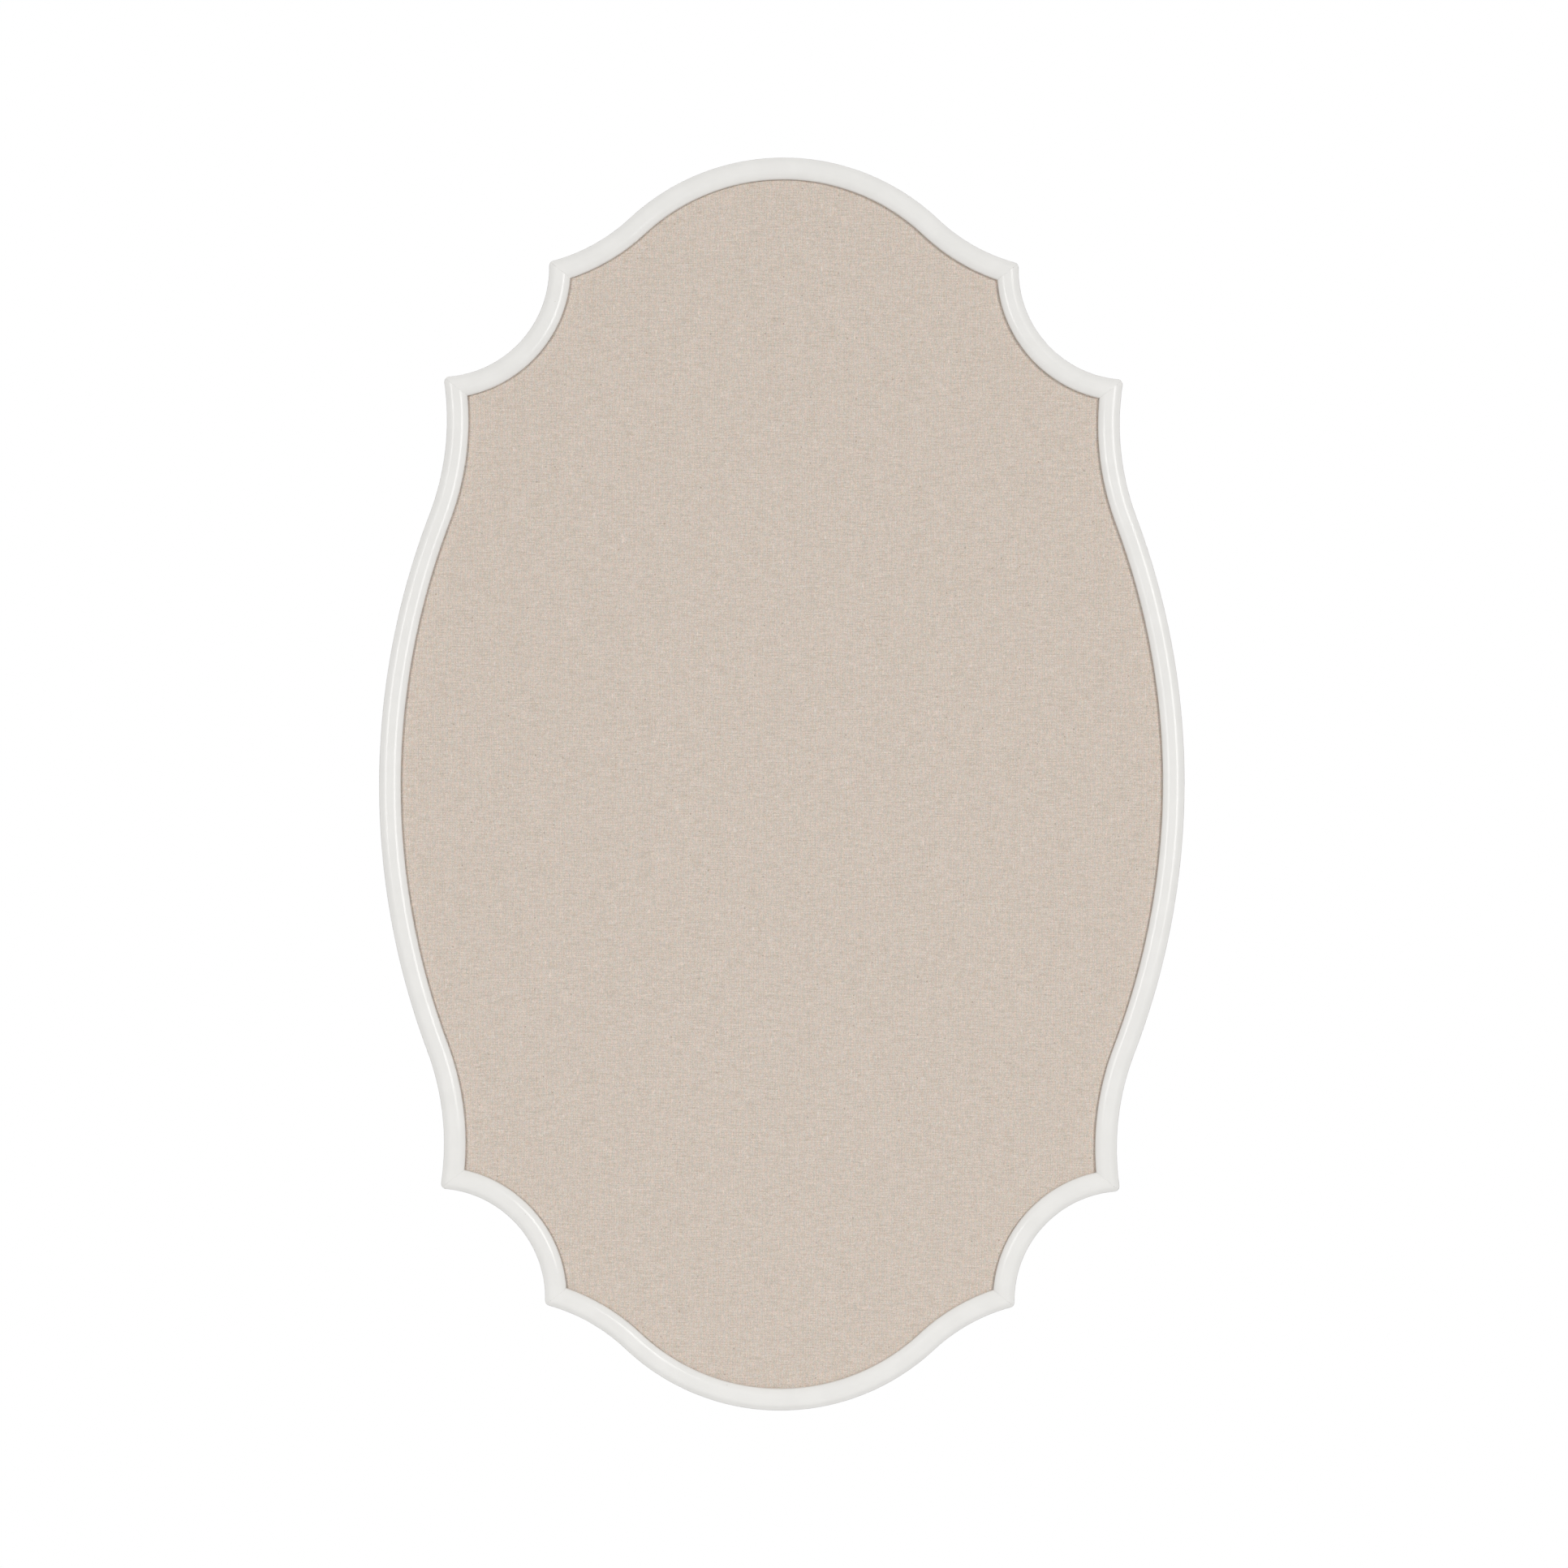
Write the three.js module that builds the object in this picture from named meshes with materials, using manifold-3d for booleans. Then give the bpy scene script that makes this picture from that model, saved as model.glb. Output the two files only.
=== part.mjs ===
// A scalloped pin board that hangs upright on a wall.
//
// A narrow lacquered wood moulding, mitred together from eight curved lengths, runs round
// a panel of soft board wrapped in linen. The panel lies in the moulding's rabbet, a hard
// backing board closes it, and turn buttons on the back of the frame hold both in.
//
// Lengths are millimetres. +Z is up, the front faces -Y and the wall is on the +Y side.
// The origin is the centre of the backing board's rear face, level with the frame's back.

import * as THREE from 'three';
import { mergeVertices } from 'three/addons/utils/BufferGeometryUtils.js';
import Module from 'manifold-3d';

const wasm = await Module();
wasm.setup();

// The outline round the outside of the frame.
const boardWidth = 587.8;
const boardHeight = 914.4;
const sideRadius = 552.5;
const sideOgeeRadius = 192.5;
// How far the corner tip stands outside the circle of the side's main arc.
const sideFlare = 34.5;
const crownRadius = 164.4;
const crownOgeeRadius = 132.6;
// How far the crown's tip stands outside the circle of the crown's main arc.
const crownFlare = 28.2;
// The crown's tip, as an angle from the vertical about the crown's centre, in degrees.
const crownReach = 62.9;
// From the top of the crown down to the corner tip, and the hollow of the cove between tips.
const cornerDrop = 161;
const coveDepth = 24;
// The outer tips are sanded round.
const tipRound = 4;

// The moulding's section.
const faceWidth = 15.6;
const domeDepth = 4.2;
const domeStart = 20;
const faceFall = 0.65;
const lipThickness = 6.4;
const lipWidth = 5;
const mitreGap = 0.4;

// The panel and its layers.
const seatGap = 0.3;
const panelPlay = 1;
// The lip presses the panel's margin back, and the field inside it stands proud.
const marginPress = 0.2;
const fieldPlay = 0.6;
const linenThickness = 0.7;
const linenTurn = 28;
const coreThickness = 9;
const backingThickness = 3;
// The corners of the plain field on the backing's rear face, as shares of the half sizes.
const backingFieldShares = [[-0.68, -0.48], [0.68, -0.48], [0, 0.87]];

// The steel wedge across each mitre, its legs' spread in degrees.
const nailLeg = 5.5;
const nailThickness = 0.6;
const nailHeight = 10;
const nailSink = 0.3;
const nailSpread = 90;

// Round-headed wood screws.
const screwLength = 12;
const screwShankRadius = 1.4;
const screwHeadRadius = 2.7;
const screwHeadHeight = 1.5;
const screwPlay = 0.3;

// Turn buttons: the round end at the screw, and the tip that swings over the backing.
const buttonPivotRadius = 4.6;
const buttonTipRadius = 3.2;
const buttonReach = 17;
const buttonThickness = 1.5;
// Where the rail's buttons stand, as an angle from the board's mid height, in degrees.
const railButtonAngle = 9;

// D-ring hangers: a strap folded round the bar of a wire ring.
const wireRadius = 0.9;
const ringInnerWidth = 9.4;
const ringLeg = 4;
const ringCornerRadius = 1.2;
const eyeClearance = 0.2;
const strapSideClearance = 0.6;
const strapThickness = 1;
const strapReach = 26.5;
const strapFirstScrew = 14.5;
const strapScrewSpacing = 8;
// The angle that the strap's curl turns through, and the hanger's place on the rail, in degrees.
const curlTurn = 285;
const hangerAngle = 16;

// Soft studs that keep the board off the wall.
const bumperRadius = 4.5;
const bumperTaper = 0.6;
const bumperHeight = 5;

// How far a cutting shape runs past the surface it cuts through.
const overrun = 2;

// Facets on each stretch of curve.
const sideSteps = 9;
const sideOgeeSteps = 6;
const coveSteps = 12;
const crownSteps = 10;
const crownOgeeSteps = 7;
const tipSteps = 2;
const domeSteps = 7;
const wireSides = 8;
const ringCornerSteps = 3;
const ringBowSteps = 10;
const bumperSides = 16;
const smallRoundSides = 8;

// The layers, from the rear face forwards.
const backingFront = -backingThickness;
const turnBack = backingFront - seatGap;
const turnFront = turnBack - linenThickness;
const coreBack = turnFront - seatGap;
const coreFront = coreBack - coreThickness;
const linenInside = coreFront - seatGap;
const linenFront = linenInside - linenThickness;
const marginFront = linenFront + marginPress;
const lipBack = linenFront - seatGap;
const faceFront = lipBack - lipThickness;

// Insets from the frame's outer edge.
const rimWidth = faceWidth - lipWidth;
const rimMiddle = rimWidth / 2;
const panelInset = rimWidth + panelPlay;
const fieldInset = faceWidth + fieldPlay;

// Outline points are pairs whose y is the board's Z.
const halfWidth = boardWidth / 2;
const halfHeight = boardHeight / 2;
const radians = THREE.MathUtils.degToRad;

function polar(centre, radius, angle) {
  return new THREE.Vector2(
    centre.x + radius * Math.cos(angle),
    centre.y + radius * Math.sin(angle),
  );
}

// The direction of a point seen from a centre, from 0 to a full turn.
function bearing(point, centre) {
  return point.clone().sub(centre).angle();
}

// Where two circles cross, on the left of the way from the first centre to the second.
function crossing(centreA, radiusA, centreB, radiusB) {
  const way = centreB.clone().sub(centreA);
  const distance = way.length();
  const along = (radiusA ** 2 - radiusB ** 2 + distance ** 2) / (2 * distance);
  const across = Math.sqrt(radiusA ** 2 - along ** 2);
  way.normalize();
  const left = new THREE.Vector2(-way.y, way.x);
  return centreA.clone().addScaledVector(way, along).addScaledVector(left, across);
}

// The side: a shallow bow about a centre on the mid line, which turns into a hollow ogee
// that flares out to the corner tip.
const sideCentre = new THREE.Vector2(halfWidth - sideRadius, 0);
const cornerHeight = halfHeight - cornerDrop;
const cornerTip = new THREE.Vector2(
  sideCentre.x + Math.sqrt((sideRadius + sideFlare) ** 2 - cornerHeight ** 2),
  cornerHeight,
);
const sideOgeeCentre = crossing(
  cornerTip,
  sideOgeeRadius,
  sideCentre,
  sideRadius + sideOgeeRadius,
);
const sideTurn = bearing(sideOgeeCentre, sideCentre);

// The crown: a lobe about a centre on the board's middle, with an ogee out to its own tip.
const crownCentre = new THREE.Vector2(0, halfHeight - crownRadius);
const crownTip = polar(
  crownCentre,
  crownRadius + crownFlare,
  Math.PI / 2 - radians(crownReach),
);
const crownOgeeCentre = crossing(
  crownCentre,
  crownRadius + crownOgeeRadius,
  crownTip,
  crownOgeeRadius,
);
const crownTurn = bearing(crownOgeeCentre, crownCentre);

// The cove: one hollow arc between the two tips, as deep as its named depth.
const coveChord = cornerTip.clone().sub(crownTip);
const coveRadius = coveChord.length() ** 2 / (8 * coveDepth) + coveDepth / 2;
const coveOutwards = new THREE.Vector2(-coveChord.y, coveChord.x).normalize();
const coveCentre = crownTip
  .clone()
  .lerp(cornerTip, 0.5)
  .addScaledVector(coveOutwards, coveRadius - coveDepth);

// Hollow arcs grow and swelling arcs shrink with the inset, so each tip moves in along its mitre.
function cornerTipAt(inset) {
  return crossing(sideOgeeCentre, sideOgeeRadius + inset, coveCentre, coveRadius + inset);
}

function crownTipAt(inset) {
  return crossing(coveCentre, coveRadius + inset, crownOgeeCentre, crownOgeeRadius + inset);
}

function arc(centre, radius, from, to, steps) {
  return Array.from({ length: steps + 1 }, (_, i) =>
    polar(centre, radius, from + ((to - from) * i) / steps),
  );
}

// The last stretch of a hollow arc up to its mitre, less trim. Further out than tipRound it
// turns about the point where both arcs are that far in, and further in it keeps to the arc.
// back is the sense of turn about the arc's centre that leads away from the mitre.
function tipRun(centre, radius, tipAt, back, inset, trim) {
  if (inset < tipRound) {
    const hub = tipAt(tipRound);
    const from = bearing(centre, hub);
    const to = bearing(tipAt(0), hub);
    const turn = Math.atan2(Math.sin(to - from), Math.cos(to - from));
    const reach = tipRound - inset;
    return arc(hub, reach, from, from + turn - (Math.sign(turn) * trim) / reach, tipSteps);
  }
  const hollow = radius + inset;
  const end = bearing(tipAt(inset), centre);
  return arc(centre, hollow, end + (back * tipRound) / hollow, end + (back * trim) / hollow, tipSteps);
}

// The quarter with x and z positive: the side from mid height up, the cove, and the crown
// to the middle. trim shortens the ends that meet at a mitre.
function upperSide(inset, trim) {
  const tip = tipRun(sideOgeeCentre, sideOgeeRadius, cornerTipAt, 1, inset, trim);
  const end = bearing(tip[0], sideOgeeCentre);
  return [
    ...arc(sideCentre, sideRadius - inset, 0, sideTurn, sideSteps),
    ...arc(sideOgeeCentre, sideOgeeRadius + inset, sideTurn + Math.PI, end, sideOgeeSteps).slice(1),
    ...tip.slice(1),
  ];
}

function rightCove(inset, trim) {
  const corner = tipRun(coveCentre, coveRadius, cornerTipAt, -1, inset, trim);
  const crown = tipRun(coveCentre, coveRadius, crownTipAt, 1, inset, trim);
  const start = bearing(corner[0], coveCentre);
  const end = bearing(crown[0], coveCentre);
  return [
    ...corner.reverse(),
    ...arc(coveCentre, coveRadius + inset, start, end, coveSteps).slice(1),
    ...crown.slice(1),
  ];
}

function rightCrown(inset, trim) {
  const tip = tipRun(crownOgeeCentre, crownOgeeRadius, crownTipAt, -1, inset, trim);
  const start = bearing(tip[0], crownOgeeCentre);
  const end = crownTurn + Math.PI;
  return [
    ...tip.reverse(),
    ...arc(crownOgeeCentre, crownOgeeRadius + inset, start, end, crownOgeeSteps).slice(1),
    ...arc(crownCentre, crownRadius - inset, crownTurn, Math.PI / 2, crownSteps).slice(1),
  ];
}

// A run of outline points turned over left to right or top to bottom, and back to front,
// so that it carries on from the run it mirrors.
function mirrored(points, signX, signZ) {
  return points.map((p) => new THREE.Vector2(signX * p.x, signZ * p.y)).reverse();
}

function fullRail(inset, trim) {
  const upper = upperSide(inset, trim);
  return [...mirrored(upper, 1, -1), ...upper.slice(1)];
}

function fullCrown(inset, trim) {
  const right = rightCrown(inset, trim);
  return [...right, ...mirrored(right, -1, 1).slice(1)];
}

// The whole outline at an inset, from the middle of the bottom crown up the right side.
function fullOutline(inset) {
  const quarter = [
    ...upperSide(inset, 0),
    ...rightCove(inset, 0).slice(1),
    ...rightCrown(inset, 0).slice(1),
  ];
  const rightHalf = [...mirrored(quarter, 1, -1), ...quarter.slice(1)];
  return [...rightHalf, ...mirrored(rightHalf, -1, 1).slice(1, -1)];
}

// The moulding's section as pairs of inset and depth: a face that is the top of an ellipse
// and falls a little towards the panel, and the rabbet behind the inner lip.
function mouldingSection() {
  const start = THREE.MathUtils.degToRad(domeStart);
  const dome = Array.from({ length: domeSteps + 1 }, (_, i) => {
    const turn = start + ((Math.PI - 2 * start) * i) / domeSteps;
    const inset = (faceWidth / 2) * (1 - Math.cos(turn) / Math.cos(start));
    return [inset, (faceFall * inset) / faceWidth - domeDepth * Math.sin(turn)];
  });
  const top = Math.min(...dome.map(([, depth]) => depth));
  const face = dome.map(([inset, depth]) => [inset, faceFront + depth - top]);
  return [[0, 0], ...face, [faceWidth, lipBack], [rimWidth, lipBack], [rimWidth, 0]];
}

// Turns a geometry's faces round if they point inwards.
function facingOut(geometry) {
  const position = geometry.attributes.position;
  const index = geometry.index.array;
  const corners = [0, 1, 2].map(() => new THREE.Vector3());
  let volume = 0;
  for (let i = 0; i < index.length; i += 3) {
    corners.forEach((corner, j) => corner.fromBufferAttribute(position, index[i + j]));
    volume += corners[0].dot(corners[1].cross(corners[2]));
  }
  if (volume < 0) {
    for (let i = 0; i < index.length; i += 3) {
      [index[i], index[i + 1]] = [index[i + 1], index[i]];
    }
  }
  return geometry;
}

// Skins a row of like sections. A closed row joins its last section to its first, and an
// open one gets an end cap from the triangles that fill the flat section.
function skin(sections, flatSection) {
  const across = sections[0].length;
  const rows = flatSection ? sections.length - 1 : sections.length;
  const index = [];
  for (let i = 0; i < rows; i++) {
    const here = i * across;
    const next = ((i + 1) % sections.length) * across;
    for (let j = 0; j < across; j++) {
      const k = (j + 1) % across;
      index.push(here + j, next + j, next + k, here + j, next + k, here + k);
    }
  }
  if (flatSection) {
    const last = rows * across;
    for (const [a, b, c] of THREE.ShapeUtils.triangulateShape(flatSection, [])) {
      index.push(a, b, c, last + c, last + b, last + a);
    }
  }
  const geometry = new THREE.BufferGeometry();
  geometry.setFromPoints(sections.flat());
  geometry.setIndex(index);
  return facingOut(geometry);
}

// A length of moulding: the section carried along its run, each of its points on its own
// inset of the outline, so the ends come out mitred.
function mouldingLength(run, signX, signZ) {
  const section = mouldingSection();
  const lines = section.map(([inset]) => run(inset, mitreGap / 2));
  const sections = lines[0].map((_, i) =>
    section.map(([, depth], j) =>
      new THREE.Vector3(signX * lines[j][i].x, depth, signZ * lines[j][i].y),
    ),
  );
  const flat = section.map(([inset, depth]) => new THREE.Vector2(inset, depth));
  return skin(sections, flat);
}

// A flat shape in the board's plane, from its back face at back forwards to front.
function slab(shape, back, front) {
  const geometry = new THREE.ExtrudeGeometry(shape, {
    depth: back - front,
    bevelEnabled: false,
    curveSegments: smallRoundSides / 2,
  });
  geometry.rotateX(Math.PI / 2);
  geometry.translate(0, back, 0);
  return geometry;
}

// Joining and cutting.
function solidOf(geometry) {
  const bare = geometry.clone();
  bare.deleteAttribute('normal');
  bare.deleteAttribute('uv');
  const merged = mergeVertices(bare);
  return new wasm.Manifold(
    new wasm.Mesh({
      numProp: 3,
      vertProperties: new Float32Array(merged.attributes.position.array),
      triVerts: new Uint32Array(merged.index.array),
    }),
  );
}

function geometryOf(solid) {
  const mesh = solid.getMesh();
  const geometry = new THREE.BufferGeometry();
  geometry.setAttribute('position', new THREE.BufferAttribute(mesh.vertProperties, 3));
  geometry.setIndex(new THREE.BufferAttribute(mesh.triVerts, 1));
  geometry.computeVertexNormals();
  return geometry;
}

// Materials.
function finish(color, roughness, metalness) {
  return new THREE.MeshStandardMaterial({ color, roughness, metalness });
}

const whiteLacquer = () => finish(0xf1f0ed, 0.22, 0);
const naturalLinen = () => finish(0xcec2b6, 0.92, 0);
const softBoard = () => finish(0xb39468, 0.95, 0);
const hardBoard = () => finish(0x6f4a30, 0.7, 0);
const zincPlate = () => finish(0xb9bcc0, 0.38, 0.9);
const brassPlate = () => finish(0xb8954f, 0.35, 0.9);
const greySteel = () => finish(0x7c7f83, 0.5, 0.9);
const clearGrey = () => finish(0xd5d6d3, 0.6, 0);

const board = new THREE.Group();

function addPiece(name, geometry, material, parent = board) {
  const mesh = new THREE.Mesh(geometry, material);
  mesh.name = name;
  parent.add(mesh);
  return mesh;
}

// Places round the frame, each with the direction in to the panel.
function onArc(centre, radius, angle, inwards) {
  return {
    point: polar(centre, radius, angle),
    inward: polar(new THREE.Vector2(), inwards, angle),
  };
}

function flipped(place, signX, signZ) {
  const sign = new THREE.Vector2(signX, signZ);
  return {
    point: place.point.clone().multiply(sign),
    inward: place.inward.clone().multiply(sign),
  };
}

const quarters = [
  { suffix: 'upper_right', x: 1, z: 1 },
  { suffix: 'upper_left', x: -1, z: 1 },
  { suffix: 'lower_left', x: -1, z: -1 },
  { suffix: 'lower_right', x: 1, z: -1 },
];

const coveStart = bearing(cornerTip, coveCentre);
const coveEnd = bearing(crownTip, coveCentre);
const coveMiddle = (coveStart + coveEnd) / 2;
const ogeeMiddle = (sideTurn + Math.PI + bearing(cornerTip, sideOgeeCentre)) / 2;

const crownPlace = onArc(crownCentre, crownRadius - rimMiddle, Math.PI / 2, -1);
const covePlace = onArc(coveCentre, coveRadius + rimMiddle, coveMiddle, 1);
const railPlace = onArc(sideCentre, sideRadius - rimMiddle, radians(railButtonAngle), -1);
const bumperPlace = onArc(sideOgeeCentre, sideOgeeRadius + rimMiddle, ogeeMiddle, 1);

const buttonPlaces = [
  { name: 'crown_top', ...crownPlace },
  { name: 'crown_bottom', ...flipped(crownPlace, 1, -1) },
  ...quarters.map(({ suffix, x, z }) => ({ name: `cove_${suffix}`, ...flipped(covePlace, x, z) })),
  ...quarters.map(({ suffix, x, z }) => ({ name: `rail_${suffix}`, ...flipped(railPlace, x, z) })),
];

// V-nails: a chevron of strip on the mitre line, its legs open towards the panel and along
// the middle of the rim.
function chevron(leg, thickness) {
  const half = radians(nailSpread) / 2;
  const tip = thickness / 2 / Math.sin(half);
  const points = [-1, 1].map((sign) => {
    const along = new THREE.Vector2(Math.cos(half), sign * Math.sin(half));
    const outside = new THREE.Vector2(-Math.sin(half), sign * Math.cos(half));
    return [1, -1].map((side) =>
      new THREE.Vector2().addScaledVector(along, leg).addScaledVector(outside, (side * thickness) / 2),
    );
  });
  const [[lowOut, lowIn], [highOut, highIn]] = points;
  return new THREE.Shape([
    new THREE.Vector2(-tip, 0),
    lowOut,
    lowIn,
    new THREE.Vector2(tip, 0),
    highIn,
    highOut,
  ]);
}

function mitrePlace(tipAt) {
  const point = tipAt(rimMiddle);
  return { point, inward: tipAt(rimWidth).sub(tipAt(0)).normalize() };
}

const nailPlaces = quarters.flatMap(({ suffix, x, z }) => [
  { name: `corner_${suffix}`, ...flipped(mitrePlace(cornerTipAt), x, z) },
  { name: `crown_${suffix}`, ...flipped(mitrePlace(crownTipAt), x, z) },
]);

// Turns a geometry whose +X is its own front so that it points inwards at its place.
function setAt(geometry, place) {
  geometry.rotateY(-place.inward.angle());
  geometry.translate(place.point.x, 0, place.point.y);
  return geometry;
}

function poseAt(object, place) {
  object.rotation.y = -place.inward.angle();
  object.position.set(place.point.x, object.position.y, place.point.y);
}

// Hangers stand on the upper part of each rail, their own axis along it and the strap's
// edge on the rim's inner edge, which keeps the ring behind the frame.
const barHeight = strapThickness + eyeClearance + wireRadius;
const strapWidth = ringInnerWidth - 2 * strapSideClearance;
const hangerInset = rimWidth - strapWidth / 2;
const rightHanger = {
  point: polar(sideCentre, sideRadius - hangerInset, radians(hangerAngle)),
  tilt: radians(hangerAngle),
};
const strapScrews = [strapFirstScrew, strapFirstScrew + strapScrewSpacing];

function hangerScrewPoint(distance, signX) {
  const { point, tilt } = rightHanger;
  return new THREE.Vector2(
    signX * (point.x + distance * Math.sin(tilt)),
    point.y - distance * Math.cos(tilt),
  );
}

// Everything that is cut into the back of the frame: a slot for each V-nail and a pilot
// hole for each screw.
function nailSlot(place) {
  const shape = chevron(nailLeg + seatGap, nailThickness + 2 * seatGap);
  return setAt(slab(shape, overrun, -nailSink - nailHeight - seatGap), place);
}

function pilotHole(point, headSeat) {
  const bottom = headSeat - screwLength - screwPlay;
  const hole = new THREE.CylinderGeometry(
    screwShankRadius + screwPlay,
    screwShankRadius + screwPlay,
    overrun - bottom,
    smallRoundSides,
  );
  hole.translate(point.x, (overrun + bottom) / 2, point.y);
  return hole;
}

const buttonBack = seatGap + buttonThickness;
const buttonHeadSeat = buttonBack + seatGap;

function frameCuts() {
  const cuts = [
    ...nailPlaces.map(nailSlot),
    ...buttonPlaces.map(({ point }) => pilotHole(point, buttonHeadSeat)),
    ...[1, -1].flatMap((signX) =>
      strapScrews.map((distance) => pilotHole(hangerScrewPoint(distance, signX), strapThickness)),
    ),
  ];
  return cuts.map(solidOf).reduce((all, cut) => all.add(cut));
}

function addFrame() {
  const cuts = frameCuts();
  const lengths = [
    ['frame_crown_top', fullCrown, 1, 1],
    ['frame_crown_bottom', fullCrown, 1, -1],
    ['frame_rail_right', fullRail, 1, 1],
    ['frame_rail_left', fullRail, -1, 1],
    ...quarters.map(({ suffix, x, z }) => [`frame_cove_${suffix}`, rightCove, x, z]),
  ];
  for (const [name, run, signX, signZ] of lengths) {
    const length = solidOf(mouldingLength(run, signX, signZ)).subtract(cuts);
    addPiece(name, geometryOf(length), whiteLacquer());
  }
}

function addNails() {
  for (const place of nailPlaces) {
    const nail = slab(chevron(nailLeg, nailThickness), 0, -nailHeight);
    const mesh = addPiece(`v_nail_${place.name}`, nail, greySteel());
    mesh.position.y = -nailSink;
    poseAt(mesh, place);
  }
}

// The panel: linen drawn over the front and edges of the core and turned over its back. Its
// field stands proud of the margin that the lip presses on.
function panelSlab(inset, back, front) {
  return slab(new THREE.Shape(fullOutline(inset)), back, front);
}

// The backing board. Its rear face has a plain field that the turn buttons can't reach, and the
// mesh of the margin runs round it.
function backingGeometry() {
  const rim = fullOutline(panelInset);
  const field = backingFieldShares.map(([x, z]) =>
    new THREE.Vector2((x * boardWidth) / 2, (z * boardHeight) / 2),
  );
  const front = rim.map(({ x, y }) => new THREE.Vector3(x, backingFront, y));
  const back = [...rim, ...field].map(({ x, y }) => new THREE.Vector3(x, 0, y));
  const index = [];
  for (const [a, b, c] of THREE.ShapeUtils.triangulateShape(rim, [])) {
    index.push(a, b, c);
  }
  for (const [outline, holes, first] of [[rim, [field], rim.length], [field, [], 2 * rim.length]]) {
    for (const [a, b, c] of THREE.ShapeUtils.triangulateShape(outline, holes)) {
      index.push(first + c, first + b, first + a);
    }
  }
  rim.forEach((_, here) => {
    const next = (here + 1) % rim.length;
    index.push(here, rim.length + here, rim.length + next, here, rim.length + next, next);
  });
  const geometry = new THREE.BufferGeometry();
  geometry.setFromPoints([...front, ...back]);
  geometry.setIndex(index);
  return facingOut(geometry);
}

function addPanel() {
  const coreInset = panelInset + linenThickness + seatGap;
  const field = solidOf(panelSlab(fieldInset, turnBack, linenFront));
  const wrapped = solidOf(panelSlab(panelInset, turnBack, marginFront)).add(field);
  const hollow = solidOf(panelSlab(panelInset + linenThickness, turnFront, linenInside));
  const window = solidOf(panelSlab(panelInset + linenTurn, turnBack + overrun, turnFront - overrun));
  addPiece('linen_cover', geometryOf(wrapped.subtract(hollow).subtract(window)), naturalLinen());
  addPiece('pin_core', panelSlab(coreInset, coreBack, coreFront), softBoard());
  addPiece('backing_board', backingGeometry(), hardBoard());
}

// A screw about its own axis, its head's underside at zero and its point below.
function screwGeometry() {
  const pointLength = screwShankRadius * 2;
  const domeShares = [[1, 0], [1, 0.35], [0.72, 0.85], [0, 1]];
  const profile = [
    new THREE.Vector2(0, -screwLength),
    new THREE.Vector2(screwShankRadius, pointLength - screwLength),
    new THREE.Vector2(screwShankRadius, 0),
    ...domeShares.map(([out, up]) => new THREE.Vector2(screwHeadRadius * out, screwHeadHeight * up)),
  ];
  return new THREE.LatheGeometry(profile, smallRoundSides);
}

// A turn button: a round end on the screw, drawn in to a narrower round tip.
function buttonShape() {
  const lean = Math.acos((buttonPivotRadius - buttonTipRadius) / buttonReach);
  const shape = new THREE.Shape();
  shape.absarc(0, 0, buttonPivotRadius, lean, 2 * Math.PI - lean, false);
  shape.absarc(buttonReach, 0, buttonTipRadius, -lean, lean, false);
  shape.closePath();
  const hole = new THREE.Path();
  hole.absarc(0, 0, screwShankRadius + screwPlay, 0, 2 * Math.PI, true);
  shape.holes.push(hole);
  return shape;
}

function addButtons() {
  for (const place of buttonPlaces) {
    const button = slab(buttonShape(), buttonBack, seatGap);
    poseAt(addPiece(`turn_button_${place.name}`, button, zincPlate()), place);
    const screw = addPiece(`button_screw_${place.name}`, screwGeometry(), brassPlate());
    screw.position.set(place.point.x, buttonHeadSeat, place.point.y);
  }
}

// Round the ring's wire: the bar between two tight corners, a leg down each side and the bow.
function ringLine() {
  const half = ringInnerWidth / 2 + wireRadius;
  const corner = ringCornerRadius;
  const left = new THREE.Vector2(corner - half, -corner);
  const right = new THREE.Vector2(half - corner, -corner);
  const bow = new THREE.Vector2(0, -ringLeg);
  return [
    ...arc(left, corner, Math.PI, Math.PI / 2, ringCornerSteps),
    ...arc(right, corner, Math.PI / 2, 0, ringCornerSteps),
    ...arc(bow, half, 0, -Math.PI, ringBowSteps),
  ];
}

function ringGeometry() {
  const line = ringLine();
  const sections = line.map((point, i) => {
    const before = line[(i + line.length - 1) % line.length];
    const after = line[(i + 1) % line.length];
    const arriving = point.clone().sub(before).normalize();
    const along = after.clone().sub(point).normalize().add(arriving).normalize();
    return Array.from({ length: wireSides }, (_, j) => {
      const turn = (2 * Math.PI * j) / wireSides;
      const out = wireRadius * Math.cos(turn);
      return new THREE.Vector3(
        point.x + along.y * out,
        barHeight + wireRadius * Math.sin(turn),
        point.y - along.x * out,
      );
    });
  });
  return skin(sections);
}

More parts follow.
